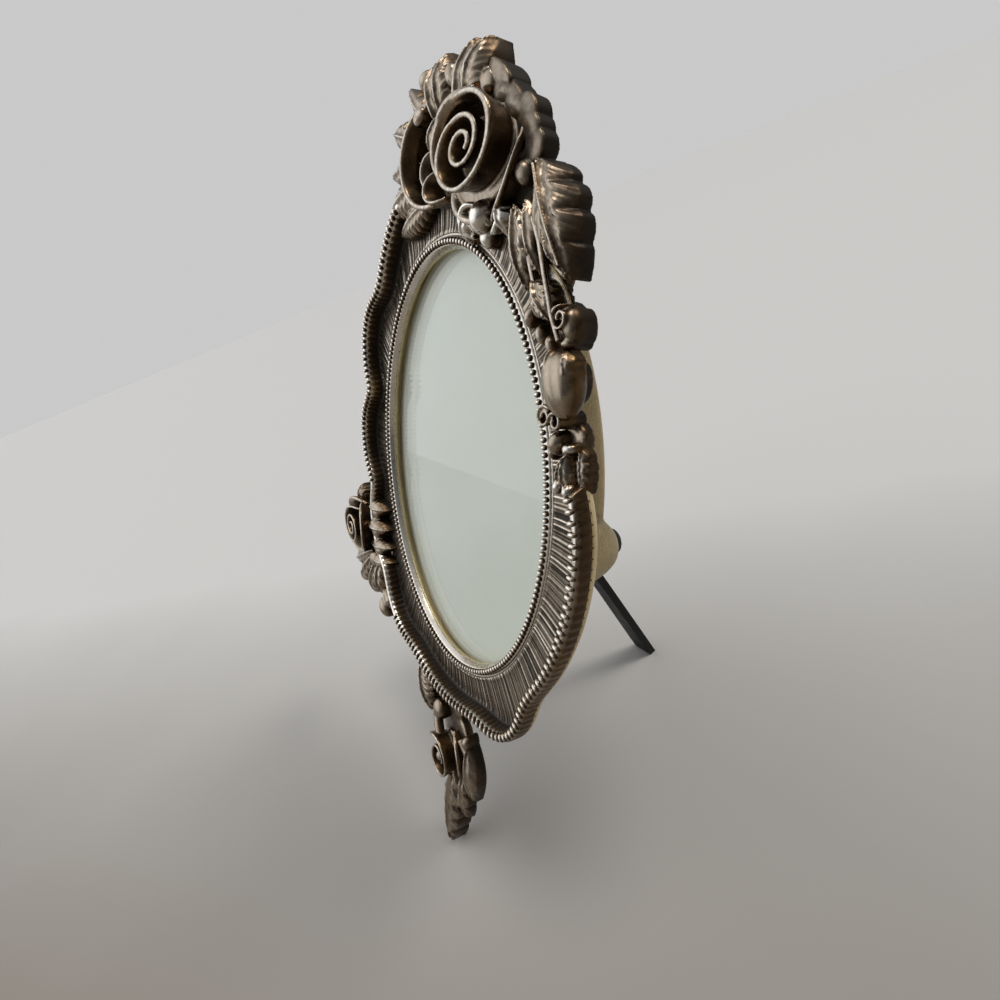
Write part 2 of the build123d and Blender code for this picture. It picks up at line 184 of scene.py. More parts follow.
def mesh_piece(name, points, faces):
    """A piece from points on the flat frame, closed and facing outwards."""
    mesh = bpy.data.meshes.new(name)
    mesh.from_pydata(on_frame(points).tolist(), [], [list(map(int, f)) for f in faces])
    shape = bmesh.new()
    shape.from_mesh(mesh)
    bmesh.ops.recalc_face_normals(shape, faces=shape.faces)
    shape.to_mesh(mesh)
    shape.free()
    mesh.shade_smooth()
    return in_scene(name, mesh)


def worked_out(shaped, name):
    """A plain piece from an object whose modifiers shape it, which then goes."""
    mesh = bpy.data.meshes.new_from_object(shaped.evaluated_get(bpy.context.evaluated_depsgraph_get()))
    bpy.data.objects.remove(shaped)
    mesh.name = name
    return in_scene(name, mesh)


def points_of(mesh):
    """A mesh's points, in metres."""
    points = np.empty(len(mesh.vertices) * 3, np.float32)
    mesh.vertices.foreach_get("co", points)
    return points.reshape(-1, 3).astype(float)


def height_on_frame(points):
    """How many millimetres in front of the bead line points of the leaning frame lie."""
    return (points - np.array(glass_middle)) @ -np.array(rear) * 1000 + glass_level


def mark_creases_and_shade(mesh, reach_mm, steps, side_share=0.2, depth_share=0.0):
    """Keeps two marks at each point: how deep it lies in a crease (0.5 on open metal), raised as painted
    shade on faces turned away from the front by the side share, and how far it turns away from the front (0
    to 1), which the silver's finish paints brown as a dark reflection. What lies near the ground of a deep
    casting is darkened as painted shade by the depth share."""
    count = len(mesh.vertices)
    points = points_of(mesh)
    normals = np.empty(count * 3, np.float32)
    mesh.vertex_normals.foreach_get("vector", normals)
    normals = normals.reshape(-1, 3)
    edges = np.empty(len(mesh.edges) * 2, np.int32)
    mesh.edges.foreach_get("vertices", edges)
    a, b = edges.reshape(-1, 2).T
    degree = np.maximum(np.bincount(a, minlength=count) + np.bincount(b, minlength=count), 1)
    soft = points
    for _ in range(steps):
        total = [np.bincount(a, soft[b, i], count) + np.bincount(b, soft[a, i], count) for i in range(3)]
        soft = (soft + np.stack(total, axis=-1) / degree[:, None]) / 2
    rise = ((soft - points) * normals).sum(axis=1) * 1000 / reach_mm
    away = np.clip(1 - normals @ -np.array(rear), 0, 1)
    # Painted shade: faces turned away from the front count as deeper in a crease by the side share, and so
    # do points near the ground by the depth share.
    rise = 0.5 + 0.5 * rise + side_share * away**2
    if depth_share:
        shallow, deep = 3.0, -1.5
        rise += depth_share * np.clip((shallow - height_on_frame(points)) / (shallow - deep), 0, 1)
    crease_and_shade = mesh.attributes.new("crease_and_shade", "FLOAT", "POINT")
    crease_and_shade.data.foreach_set("value", np.clip(rise, 0, 1).astype(np.float32))
    aside = mesh.attributes.new("aside", "FLOAT", "POINT")
    aside.data.foreach_set("value", away.astype(np.float32))


def brushed_rays():
    """Heights of the lines cut across the field, one for each point round the rim: fine ones all over and
    bolder ones at uneven distances."""
    rng = np.random.default_rng(5)
    fine = smoothed(rng.normal(size=around), 1)
    fine /= fine.std()
    bold = np.zeros(around)
    here = 0.0
    while here < around:
        bold[int(here) % around] = rng.uniform(0.5, 1.0)
        here += rng.uniform(5, 17)
    bold = smoothed(bold, 1)
    return 0.035 * fine + 0.17 * bold / bold.max()


grooves = brushed_rays()
lip_profile = (  # out from the beaded oval, and height
    (-opening_inset, -2.7), (-opening_inset + 0.15, -2.4), (-0.95, -1.15), (-0.7, -0.85),
    (0.75, -0.85), (0.9, -1.15), (1.05, -1.3), (1.3, -1.05),
    (1.6, -1.02), (1.8, -1.2),
)
field_rings = 14
rim_inside = (  # out from the rim's middle, height, and share of the fluting
    (-1.35, -1.1, 0.3),
    (-1.2, -0.7, 0.6),
    (-1.15, 0.2, 1),
    (-1.08, 1.6, 1),
    (-1.05, 2.8, 1),
    (-0.95, 3.5, 1),
    (-0.6, 4.0, 0),
    (0, 4.2, 0),
)
rim_outside = (
    (0.6, 4.0, 0),
    (0.98, 3.5, 1),
    (1.12, 2.6, 1),
    (1.18, 1.2, 1),
    (1.16, 0.1, 0.5),
    (0.95, -0.3, 0),
    (0.2, -0.8, 0),
    (-0.9, -1.9, 0),
    (-1.9, -2.6, 0),
)


def tray_rings():
    """The tray's section, ring by ring: the lip of the opening, the field, the rim, and back underneath.
    The rim sinks under the crest."""
    rings = [level(oval(out), height) for out, height in lip_profile]
    inner = oval(2.0)
    foot = rim - (rim_half + rim_foot) * rim_side
    for step in range(field_rings):
        share = step / (field_rings - 1)
        fade = math.sin(math.pi * min(1, 0.16 + 0.84 * share) * 0.92) ** 0.4
        ring = inner * (1 - share) + foot * share
        rings.append(level(ring, field_level - 0.35 * share + grooves * fade + 0.3 * (2 * share - 1) ** 8))
    flutes = 0.09 * np.cos(2 * math.pi * np.arange(around) / around * border_beads)
    turned = (np.degrees(bearing) - garland_end) % 360
    hidden = np.clip(np.minimum(turned, (crest_end - garland_end) - turned) / 3, 0, 1)
    sunk = 1 - 0.7 * hidden * hidden * (3 - 2 * hidden)
    for out, height, flute in rim_inside + rim_outside:
        height = field_level + (height - field_level) * (sunk if height > field_level else 1)
        rings.append(level(rim + (out + flute * flutes * np.sign(out))[:, None] * rim_side, height))
    rings.append(level((rim + oval(0)) / 2, -2.8))
    return rings


rings = tray_rings()
tray = mesh_piece("frame_face", np.concatenate(rings), ring_faces(len(rings), around, close=True))
mark_creases_and_shade(tray.data, 0.22, 10)
marks = np.empty(len(tray.data.vertices), np.float32)
tray.data.attributes["crease_and_shade"].data.foreach_get("value", marks)
marks = marks.reshape(len(rings), around)
# Painted shade and highlight: the field is made dark between its brushed lines and bright on them, and the
# rim is made dark all down its outer side as painted shade.
field = slice(len(lip_profile), len(lip_profile) + field_rings)
outer_side = slice(field.stop + len(rim_inside), len(rings))
marks[field] = np.clip(0.70 - 2.5 * grooves, 0.2, 0.8) + 0.3 * (marks[field] - 0.5)
marks[outer_side] = 0.65 + 0.3 * (marks[outer_side] - 0.5)
tray.data.attributes["crease_and_shade"].data.foreach_set("value", np.clip(marks, 0, 1).ravel())


# The finishes are written as sums on sockets, in which each operator adds its node.
class Finish:
    """A material, or the room's light, made node by node."""

    def __init__(self, name, owner=None):
        self.owner = owner or bpy.data.materials.new(name)
        self.owner.use_nodes = True
        self.tree = self.owner.node_tree
        self.tree.nodes.clear()

    def add(self, kind, settings=None, **values):
        """A node of that kind, its settings first. Values go to its sockets by name, or by number as i0."""
        node = self.tree.nodes.new(kind)
        for key, value in (settings or {}).items():
            setattr(node, key, value)
        for key, value in values.items():
            named = [s for s in node.inputs if s.enabled and s.name == key.replace("_", " ")]
            self.feed(named[0] if named else node.inputs[int(key[1:])], value)
        return node

    def feed(self, target, value):
        if isinstance(value, Value):
            self.tree.links.new(value.socket, target)
        elif isinstance(value, bpy.types.NodeSocket):
            self.tree.links.new(value, target)
        else:
            target.default_value = value

    def value(self, node, output=0):
        return Value(self, node.outputs[output])

    def noise(self, scale, detail=4.0, roughness=0.5):
        where = self.add("ShaderNodeTexCoord").outputs["Object"]
        node = self.add("ShaderNodeTexNoise", Scale=scale, Detail=detail, Roughness=roughness, Vector=where)
        return self.value(node)

    def mark(self, name):
        return self.value(self.add("ShaderNodeAttribute", {"attribute_name": name}), "Fac")

    def blend(self, share, first, second):
        node = self.add("ShaderNodeMix", {"data_type": "RGBA"}, Factor=share, i6=first, i7=second)
        return self.value(node, 2)

    def bump(self, height, strength, distance):
        node = self.add("ShaderNodeBump", Strength=strength, Distance=distance, Height=height)
        return node.outputs[0]

    def surface(self, shader):
        self.add("ShaderNodeOutputMaterial", Surface=shader)
        return self.owner

    def principled(self, **values):
        return self.surface(self.add("ShaderNodeBsdfPrincipled", **values).outputs[0])


class Value:
    """A socket that can be reckoned with: each operator adds its node."""

    def __init__(self, finish, socket):
        self.finish, self.socket = finish, socket

    def maths(self, operation, first, second):
        node = self.finish.add("ShaderNodeMath", {"operation": operation}, i0=first, i1=second)
        return self.finish.value(node)

    def __add__(self, other):
        return self.maths("ADD", self, other)

    __radd__ = __add__

    def __mul__(self, other):
        return self.maths("MULTIPLY", self, other)

    __rmul__ = __mul__

    def __sub__(self, other):
        return self.maths("SUBTRACT", self, other)

    def __rsub__(self, other):
        return self.maths("SUBTRACT", other, self)

    def __pow__(self, other):
        return self.maths("POWER", self, other)

    def held(self, low, high, start=0.0, end=1.0):
        """Runs from start to end as the value goes from low to high, and stays there outside."""
        node = self.finish.add("ShaderNodeMapRange", i0=self, i1=low, i2=high, i3=start, i4=end)
        return self.finish.value(node)


# Silver plate, rubbed bright on what stands proud, and left brown on the sides and black in what lies deep.
# The brown on the sides is tarnish with a painted dark reflection, the black is patina in the creases with
# painted shade, and the brightest rubbing on bead tops and brushed lines is a painted highlight.
plate = Finish("antique_silver")
bare_silver, rubbed_and_highlit_silver = (0.38, 0.315, 0.245, 1), (0.92, 0.87, 0.78, 1)
brown_tarnish_and_reflection, copper_tarnish_and_reflection = (0.10, 0.058, 0.027, 1), (0.22, 0.125, 0.045, 1)
black_patina_and_shade = (0.014, 0.010, 0.006, 1)
crease_and_shade, aside = plate.mark("crease_and_shade"), plate.mark("aside")
cloud, speck, copper = plate.noise(110, 5, 0.6), plate.noise(900, 3, 0.6), plate.noise(65, 3, 0.5)
# Black patina in creases, and painted shade where the crease mark carries it.
patina_and_shade = (crease_and_shade + 0.3 * (cloud - 0.5) + 0.16 * (speck - 0.5)).held(0.5, 0.76)
# Rubbed bright where it stands proud, with painted highlights on bead tops and brushed lines.
rubbed_and_highlit = (crease_and_shade + 0.2 * (speck - 0.5)).held(0.45, 0.27)
# Brown on faces turned from the front: tarnish, and a painted dark reflection.
brown = (aside + 0.8 * (cloud - 0.5)).held(0.2, 0.72)
tarnish_and_reflection = plate.blend(copper.held(0.5, 0.72), brown_tarnish_and_reflection, copper_tarnish_and_reflection)
tone = plate.blend(brown * 0.96, bare_silver, tarnish_and_reflection)
tone = plate.blend(rubbed_and_highlit * (0.95 - 0.4 * brown), tone, rubbed_and_highlit_silver)
tone = plate.blend(patina_and_shade * 0.95, tone, black_patina_and_shade)
cast_grain = plate.noise(1500, 3, 0.65) * 0.6 + plate.noise(420, 3, 0.5)
silver = plate.principled(
    Base_Color=tone,
    Metallic=1 - patina_and_shade * 0.35,
    Roughness=speck.held(0.3, 0.7, 0.2, 0.34) + patina_and_shade * 0.2,
    Normal=plate.bump(cast_grain, 0.35, 0.00006),
)
tray.data.materials.append(silver)
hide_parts("frame_face")
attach(tray, "frame")

# Beads
# Cast with the tray: a row of small pearls round the oval, and longer lobes laid across the scalloped rim.
# Each row is one lobe repeated along a line.


def ring_at(centre, radii, height, count):
    """A level ring of points round a centre."""
    angles = np.linspace(0, 2 * math.pi, count, endpoint=False)
    x, y = centre[0] + radii[0] * np.cos(angles), centre[1] + radii[1] * np.sin(angles)
    return np.stack([x, y, np.full(count, height)], axis=-1)


def bead_row(name, line, count, along, across, height, closed=True):
    """One lobe of those half sizes, in millimetres, repeated along a line."""
    path = bpy.data.meshes.new(name + "_path")
    points = on_frame(line)
    last = len(points) if closed else len(points) - 1
    path.from_pydata(points.tolist(), [(i, (i + 1) % len(points)) for i in range(last)], [])
    carrier = in_scene(name + "_path", path)
    tree = bpy.data.node_groups.new(name, "GeometryNodeTree")
    face = tree.interface
    face.new_socket("Geometry", in_out="INPUT", socket_type="NodeSocketGeometry")
    sizes = {
        "Count": ("NodeSocketInt", count),
        "Along": ("NodeSocketFloat", along / 1000),
        "Across": ("NodeSocketFloat", across / 1000),
        "Height": ("NodeSocketFloat", height / 1000),
        "Material": ("NodeSocketMaterial", silver),
    }
    sockets = {}
    for key, (kind, _) in sizes.items():
        sockets[key] = face.new_socket(key, in_out="INPUT", socket_type=kind).identifier
    face.new_socket("Geometry", in_out="OUTPUT", socket_type="NodeSocketGeometry")
    new, link = tree.nodes.new, tree.links.new
    start, end = new("NodeGroupInput"), new("NodeGroupOutput")
    curve, spaced = new("GeometryNodeMeshToCurve"), new("GeometryNodeResampleCurve")
    lobe, size = new("GeometryNodeMeshUVSphere"), new("ShaderNodeCombineXYZ")
    shape, smooth = new("GeometryNodeTransform"), new("GeometryNodeSetShadeSmooth")
    tangent, put = new("GeometryNodeInputTangent"), new("GeometryNodeInstanceOnPoints")
    upright, turned = new("FunctionNodeAlignRotationToVector"), new("FunctionNodeAlignRotationToVector")
    real, coat = new("GeometryNodeRealizeInstances"), new("GeometryNodeSetMaterial")
    lobe.inputs["Segments"].default_value, lobe.inputs["Rings"].default_value = 12, 8
    lobe.inputs["Radius"].default_value = 1
    upright.axis, turned.axis, turned.pivot_axis = "Z", "Y", "Z"
    upright.inputs["Vector"].default_value = -rear
    link(start.outputs["Geometry"], curve.inputs[0])
    link(curve.outputs[0], spaced.inputs[0])
    link(start.outputs["Count"], spaced.inputs["Count"])
    link(start.outputs["Across"], size.inputs[0])
    link(start.outputs["Along"], size.inputs[1])
    link(start.outputs["Height"], size.inputs[2])
    link(lobe.outputs["Mesh"], shape.inputs["Geometry"])
    link(size.outputs[0], shape.inputs["Scale"])
    link(shape.outputs[0], smooth.inputs[0])
    link(upright.outputs[0], turned.inputs["Rotation"])
    link(tangent.outputs[0], turned.inputs["Vector"])
    link(spaced.outputs[0], put.inputs["Points"])
    link(smooth.outputs[0], put.inputs["Instance"])
    link(turned.outputs[0], put.inputs["Rotation"])
    link(put.outputs[0], real.inputs[0])
    link(real.outputs[0], coat.inputs["Geometry"])
    link(start.outputs["Material"], coat.inputs["Material"])
    link(coat.outputs[0], end.inputs[0])
    rule = carrier.modifiers.new(name, "NODES")
    rule.node_group = tree
    for key, (_, value) in sizes.items():
        rule[sockets[key]] = value
    row = worked_out(carrier, name)
    mark_creases_and_shade(row.data, 0.2, 2)
    # Painted highlight and shade: each lobe is made bright at its top and dark down its sides, by its
    # height above the line.
    rise = np.clip((height_on_frame(points_of(row.data)) - line[0][2]) / height, 0, 1)
    bead_highlight_and_shade = np.clip(0.72 - 0.5 * rise**1.4, 0.2, 0.9).astype(np.float32)
    row.data.attributes["crease_and_shade"].data.foreach_set("value", bead_highlight_and_shade)
    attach(row, "frame")


pearl_line = ring_at((0, 0), (half_width, half_height), -0.62, 900)
bead_row("oval_beads", pearl_line, 216, 0.62, 0.85, 0.8)
lobe_line = level(rim - 0.3 * rim_side, 3.95)
for name, first, last in (
    ("border_lobes_left", crest_end + 1, 193.3),
    ("border_lobes_right", 239.6, 360 + garland_end),
):
    turned = (np.degrees(bearing) - first) % 360
    stretch = np.nonzero(turned < last - first)[0]
    stretch = stretch[np.argsort(turned[stretch])]
    count = int(round(len(stretch) / around * border_beads))
    bead_row(name, lobe_line[stretch], count, 0.66, 1.2, 0.95, closed=False)

# Ground of the castings
# The tray runs out past its rim into flat lands behind the crest, the garland, the spray and the finial,
# cast with it. They carry the flowers and leaves.


def lofted(rings, close=False):
    """A closed skin over rings of equal numbers of points, its two ends closed by flat faces."""
    rings = [np.asarray(r, float) for r in rings]
    count = len(rings[0])
    faces = ring_faces(len(rings), count, close).tolist()
    if not close:
        faces.append(list(range(count))[::-1])
        faces.append(list(range((len(rings) - 1) * count, len(rings) * count)))
    return np.concatenate(rings), faces


def dome(place, radii, turn, low, shoulder, top, count=28):
    """A round-topped boss: straight sides from low to shoulder, then a rounded top."""
    angles = np.linspace(0, 2 * math.pi, count, endpoint=False)
    turn = math.radians(turn)
    outline = np.stack([radii[0] * np.cos(angles), radii[1] * np.sin(angles)], axis=-1)
    outline = outline @ np.array([[math.cos(turn), math.sin(turn)], [-math.sin(turn), math.cos(turn)]])
    rings = [level(place + outline * 0.94, low), level(place + outline, shoulder)]
    for step in range(1, 7):
        angle = step / 6.3 * math.pi / 2  # stops short of the pole, where the flat end closes it
        height = shoulder + (top - shoulder) * math.sin(angle)
        rings.append(level(place + outline * math.cos(angle), height))
    return lofted(rings)


def cast_as_one(name, shells, grain_mm, smoothing=2):
    """Fuses overlapping shells into one skin, as the mould does, and marks its creases, with painted shade
    on its sides and near its ground.
    """
    points, faces, start = [], [], 0
    for shell_points, shell_faces in shells:
        points.append(shell_points)
        faces += [[i + start for i in f] for f in shell_faces]
        start += len(shell_points)
    rough = mesh_piece(name + "_shells", np.concatenate(points), faces)
    fuse = rough.modifiers.new("fuse", "REMESH")
    fuse.mode, fuse.voxel_size, fuse.use_smooth_shade = "VOXEL", grain_mm / 1000, True
    ease = rough.modifiers.new("ease", "SMOOTH")
    ease.factor, ease.iterations = 0.5, smoothing
    piece = worked_out(rough, name)
    piece.data.shade_smooth()
    piece.data.materials.clear()
    mark_creases_and_shade(piece.data, 0.5, 10, side_share=0.1, depth_share=0.16)
    return piece


land_shares = [  # across in half widths of the oval, up and radius in half heights
    (0.51, 1.22, 0.19), (0.25, 1.32, 0.15), (0.04, 1.3, 0.16), (-0.22, 1.3, 0.13),
    (0.45, 1.37, 0.13), (0.72, 1.08, 0.11), (0.84, 0.96, 0.14), (0.96, 0.92, 0.11),
    (0.99, 0.78, 0.07), (1.08, 0.63, 0.07), (1.16, 0.28, 0.06), (-1.36, -0.6, 0.15),
    (-1.2, -0.7, 0.13), (-1.16, -0.84, 0.12), (-0.28, -1.25, 0.11), (0.03, -1.29, 0.1),
    (0.06, -1.45, 0.14), (0.12, -1.66, 0.08),
]
lands = []
for x_share, y_share, radius_share in land_shares:
    place = np.array([x_share * half_width, y_share * half_height])
    radius = radius_share * half_height
    lands.append(dome(place, (radius, radius), 0, tray_back + 0.3, -0.8, 0.3, 40))
ground = cast_as_one("casting_ground", lands, 0.5, 3)
ground.data.materials.append(silver)
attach(ground, "frame")

# Crest
# Roses, a bow and carved leaves on the top of the frame, off to one side. Each is cast in deep relief in
# the tray's alloy, set on the lands, and plated with the tray.
base = -2.4


def set_down(place, turn, x, y):
    """A form's own x and y, turned by so many degrees and put in its place."""
    heading = math.radians(turn)
    cosine, sine = math.cos(heading), math.sin(heading)
    return place[0] + x * cosine - y * sine, place[1] + x * sine + y * cosine


def carved_leaf(
    stalk, turn, length, width, top, low=base,
    teeth=5, droop=(0.35, 0.35), rib=1.0, tip_drop=0.45, waist=0.75,
):
    """A leaf with a midrib, side veins and a scalloped edge, its sides straight down to the ground."""
    along = np.linspace(0, 1, 64)
    across = np.linspace(-1, 1, 41)
    s, t = np.meshgrid(along, across, indexing="ij")
    # The outline, nicked between its teeth, with the side veins swept forward.
    half = width / 2 * np.sin(math.pi * np.clip(s, 0.015, 0.985) ** waist) ** 0.75
    lobes = np.abs(np.sin(math.pi * teeth * s))
    half = half * (1 - 0.26 * (1 - lobes) ** 1.6)
    side = np.abs(t)
    x = length * s + 0.3 * half * side * (1 - s) - 0.12 * half * (1 - side)
    y = half * t
    # Crowned along its length, and drooping at the tip and the sides.
    rise = top - low
    height = low + rise * (0.72 + 0.28 * np.sin(math.pi * s) ** 0.7)
    height -= rise * tip_drop * np.clip(s - 0.55, 0, 1) ** 1.6 / 0.45**1.6 * 0.6
    height -= rise * np.where(t < 0, droop[0], droop[1]) * side**2.2
    # Side veins, fine lines between them, and the midrib in its groove.
    sweep = s - 0.28 * side * (1 - 0.5 * s)
    veins = np.abs(np.sin(math.pi * teeth * sweep)) ** 0.8
    height += rib * 0.7 * (veins - 0.6) * np.clip(side * 1.6, 0, 1) * (1 - side**6)
    height += rib * 0.14 * np.sin(2 * math.pi * teeth * 4 * sweep) * np.clip(side * 2, 0, 1)
    height += rib * (0.7 * np.exp(-((t / 0.11) ** 2)) - 0.4 * np.exp(-(((side - 0.26) / 0.12) ** 2)))
    x, y = set_down(stalk, turn, x, y)
    upper = np.stack([x, y, np.maximum(height, low + 0.8)], axis=-1)
    lower = np.stack([x, y, np.full_like(x, low)], axis=-1)
    return closed_between(upper, lower)


def closed_between(upper, lower):
    """A closed shell from an upper and a lower sheet of the same grid."""
    index = np.arange(upper.shape[0] * upper.shape[1]).reshape(upper.shape[:2])
    quads = np.stack([index[:-1, :-1], index[1:, :-1], index[1:, 1:], index[:-1, 1:]], axis=-1)
    quads = quads.reshape(-1, 4)
    faces = quads.tolist() + (quads[:, ::-1] + index.size).tolist()
    edge = np.concatenate([index[0, :], index[1:, -1], index[-1, -2::-1], index[-2:0:-1, 0]])
    following = np.roll(edge, -1)
    walls = [edge, following, following + index.size, edge + index.size]
    faces += np.stack(walls, axis=-1).tolist()
    return np.concatenate([upper.reshape(-1, 3), lower.reshape(-1, 3)]), faces


def section_at(place, angle, oblong, profile):
    """A petal's section, in radii and heights, stood up at that angle round its centre."""
    x, y = place
    return [(x + oblong * r * math.cos(angle), y + r * math.sin(angle), height) for r, height in profile]


def petal_wall(place, start, sweep, foot, lip, low, high, wall=0.8, roll=0.8, oblong=1.0, fade=0.45):
    """A standing petal: a wall that sweeps round a centre, leans out to its rim and rolls over there."""
    steps = max(14, int(abs(sweep) / 5))
    rings = []
    for k in range(steps + 1):
        share = k / steps
        angle = math.radians(start + sweep * share)
        swell = math.sin(math.pi * min(max(share, 0.03), 0.97)) ** fade
        top = low + (high - low) * (0.45 + 0.55 * swell)
        profile = [
            (foot - wall / 2, low),
            (foot + (lip - foot) * 0.45 - wall / 2, low + (top - low) * 0.6),
            (lip - wall * 0.5, top - 0.5),
            (lip, top),
            (lip + roll, top - 0.25),
            (lip + roll * 1.25, top - 1.1),
            (lip + wall * 0.55, top - 1.5),
            (foot + (lip - foot) * 0.5 + wall * 0.75, low + (top - low) * 0.5),
            (foot + wall, low),
        ]
        rings.append(section_at(place, angle, oblong, profile))
    return lofted(rings)


def petal_coil(
    place, start, turns, outer, inner, low, high_outer, high_inner,
    lean_in=2.2, wall=0.8, hand=1, oblong=1.0, plan=None,
):
    """The rolled heart of a rose: one petal wound inwards, its wall leaning out to a narrow rim. The plan
    lists turns and the radii they reach, where the winding is uneven."""
    steps = int(turns * 64)
    rings = []
    for k in range(steps + 1):
        share = k / steps
        angle = math.radians(start + hand * 360 * turns * share)
        radius = outer + (inner - outer) * share**0.85
        if plan:
            radius = float(np.interp(turns * share, *zip(*plan)))
        top = high_outer + (high_inner - high_outer) * share
        end = math.sin(math.pi / 2 * min(1, share / 0.08)) ** 0.5
        top = low + (top - low) * (0.5 + 0.5 * end)
        foot = max(radius - lean_in * (1 - 0.5 * share), inner * 0.55)
        profile = [
            (foot - wall * 0.7, low),
            (radius - wall * 0.6, top - 0.45),
            (radius - wall * 0.3, top),
            (radius + wall * 0.3, top + 0.05),
            (radius + wall * 0.65, top - 0.45),
            (radius + wall * 0.5, top - 1.2),
            (foot + wall * 0.9, low),
        ]
        rings.append(section_at(place, angle, oblong, profile))
    return lofted(rings)


def stem(points, radius):
    """A round stem through those points."""
    points = np.asarray(points, float)
    share = np.linspace(0, len(points) - 1, 8 * len(points))
    line = np.stack([np.interp(share, range(len(points)), points[:, i]) for i in range(3)], axis=-1)
    rings = []
    for k, here in enumerate(line):
        step = line[min(k + 1, len(line) - 1)] - line[max(k - 1, 0)]
        step /= np.linalg.norm(step)
        side = np.cross(step, (0, 0, 1.0))
        side /= np.linalg.norm(side)
        up = np.cross(side, step)
        angles = np.linspace(0, 2 * math.pi, 14, endpoint=False)
        rings.append(here + radius * (np.cos(angles)[:, None] * side + np.sin(angles)[:, None] * up))
    return lofted(rings)


def add_casting(name, *shells, grain_mm=0.27, painted_lightness=0.0):
    """One casting set on the tray, made lighter than the rest as a painted highlight, or darker as painted
    shade, by the lightness given.
    """
    piece = cast_as_one(name, shells, grain_mm)
    if painted_lightness:
        for mark in piece.data.attributes["crease_and_shade"].data:
            mark.value -= painted_lightness
    piece.data.materials.append(silver)
    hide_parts(name)
    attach(piece, "frame")


add_casting(
    "crest_rose",
    dome((25.6, 71.6), (13.0, 9.6), 0, base, 2.0, 3.6, 48),
    petal_coil(
        (27.0, 72.0), 214, 2.75, 7.8, 1.2, 1.0, 9.5, 8.2, hand=-1, oblong=1.52, wall=0.85,
        plan=[
            (0, 8.2), (0.2, 7.8), (0.85, 7.7), (1.05, 6.6), (1.3, 4.7),
            (1.7, 3.8), (2.1, 2.7), (2.45, 1.9), (2.75, 1.2),
        ],
    ),
    petal_wall((27.0, 71.8), 70, 84, 7.0, 8.2, 6.0, 9.9, wall=1.0, oblong=1.5, fade=0.7),
    petal_wall((27.2, 70.9), -84, 90, 10.6, 12.6, base, 5.2, roll=0.5, oblong=1.02),
    petal_wall((26.0, 71.8), 55, 110, 9.4, 11.6, base, 4.4, wall=1.0),
    petal_wall((26.4, 71.0), 185, 95, 9.4, 11.4, base, 4.6, wall=1.0, oblong=1.15),
    dome((30.6, 71.6), (1.7, 1.5), 0, 1, 5.0, 6.8, 20),
)
add_casting(
    "crest_rosebud",
    dome((4.4, 76.0), (8.6, 8.6), 10, base, 0.4, 1.6, 36),
    petal_wall((5.2, 76.4), 62, 225, 8.4, 9.9, base, 7.4, roll=0.7, oblong=1.14, fade=0.3),
    petal_wall((8.6, 70.0), 110, 200, 2.2, 3.6, -1, 6.8, wall=0.7, roll=0.4),
    petal_wall((5.6, 74.6), 120, 130, 4.2, 5.4, -1, 5.0, roll=0.4),
    dome((4.4, 84.4), (2.6, 1.6), 15, 0, 6.0, 7.6, 18),
    dome((9.0, 77.6), (2.8, 4.6), 12, 0, 3.6, 5.6, 20),
    carved_leaf((11.0, 83.0), 236, 9.0, 4.6, 6.4, low=0.0, teeth=4, rib=0.7),
)
add_casting(
    "crest_bow",
    petal_wall((21.4, 60.4), 30, 230, 1.6, 2.9, base, 4.6, wall=0.9, roll=0.6),
    dome((21.4, 60.4), (2.2, 2.4), 15, base, 1.2, 3.4, 28),
    dome((26.6, 60.0), (2.6, 3.4), -15, base, 2.4, 5.8, 28),
    petal_wall((31.4, 59.0), -150, 230, 1.4, 2.6, base, 4.4, wall=0.9, roll=0.5),
    dome((26.2, 56.4), (2.0, 2.2), 0, base, 0.8, 3.0, 18),
    carved_leaf((20.0, 62.6), 250, 6.6, 4.6, 4.2, teeth=2, rib=0.6),
    carved_leaf((33.4, 62.0), 285, 8.0, 4.2, 4.6, teeth=3, rib=0.6),
    grain_mm=0.22,
    painted_lightness=0.2,
)
add_casting(
    "crest_crown_leaf_right",
    carved_leaf(
        (19.9, 79.4), 72, 13.6, 9.8, 6.4, teeth=3, droop=(0.35, 0.2), tip_drop=0.3, rib=0.8, waist=0.6
    ),
    carved_leaf(
        (23.9, 80.4), 60, 11.4, 9.2, 6.8, teeth=2, droop=(0.3, 0.15), tip_drop=0.3, rib=0.7, waist=0.6
    ),
    dome((17.4, 88.0), (2.0, 2.6), 20, base, 3.6, 6.2, 22),
    dome((29.6, 82.6), (3.0, 2.4), -30, base, 2.6, 4.8, 22),
    grain_mm=0.25,
)
add_casting(
    "crest_crown_leaf_left",
    carved_leaf(
        (8.4, 82.6), 98, 12.6, 8.4, 6.0, teeth=3, droop=(0.25, 0.3), tip_drop=0.3, rib=0.9, waist=0.6
    ),
    carved_leaf(
        (11.8, 82.6), 86, 12.0, 7.4, 6.4, teeth=3, droop=(0.3, 0.2), tip_drop=0.3, rib=0.8, waist=0.6
    ),
    dome((4.0, 92.0), (2.6, 2.0), 20, base, 3.2, 5.8, 22),
    grain_mm=0.25,
)
add_casting(
    "crest_side_leaves",
    carved_leaf((2.0, 84.6), 132, 14.6, 6.4, 4.8, teeth=2, tip_drop=0.0, rib=0.5, waist=0.5),
    carved_leaf((-4.0, 82.8), 158, 18.8, 7.6, 4.6, teeth=5, tip_drop=0.25),
    carved_leaf((-4.0, 78.4), 177, 19.8, 7.0, 4.4, teeth=5, tip_drop=0.25),
    carved_leaf((-4.0, 75.0), 190, 22.5, 9.5, 4.2, teeth=8, tip_drop=0.25, rib=0.8),
    carved_leaf((-1.0, 69.8), 195, 21.0, 7.6, 3.4, teeth=9, tip_drop=0.2, rib=0.5),
)
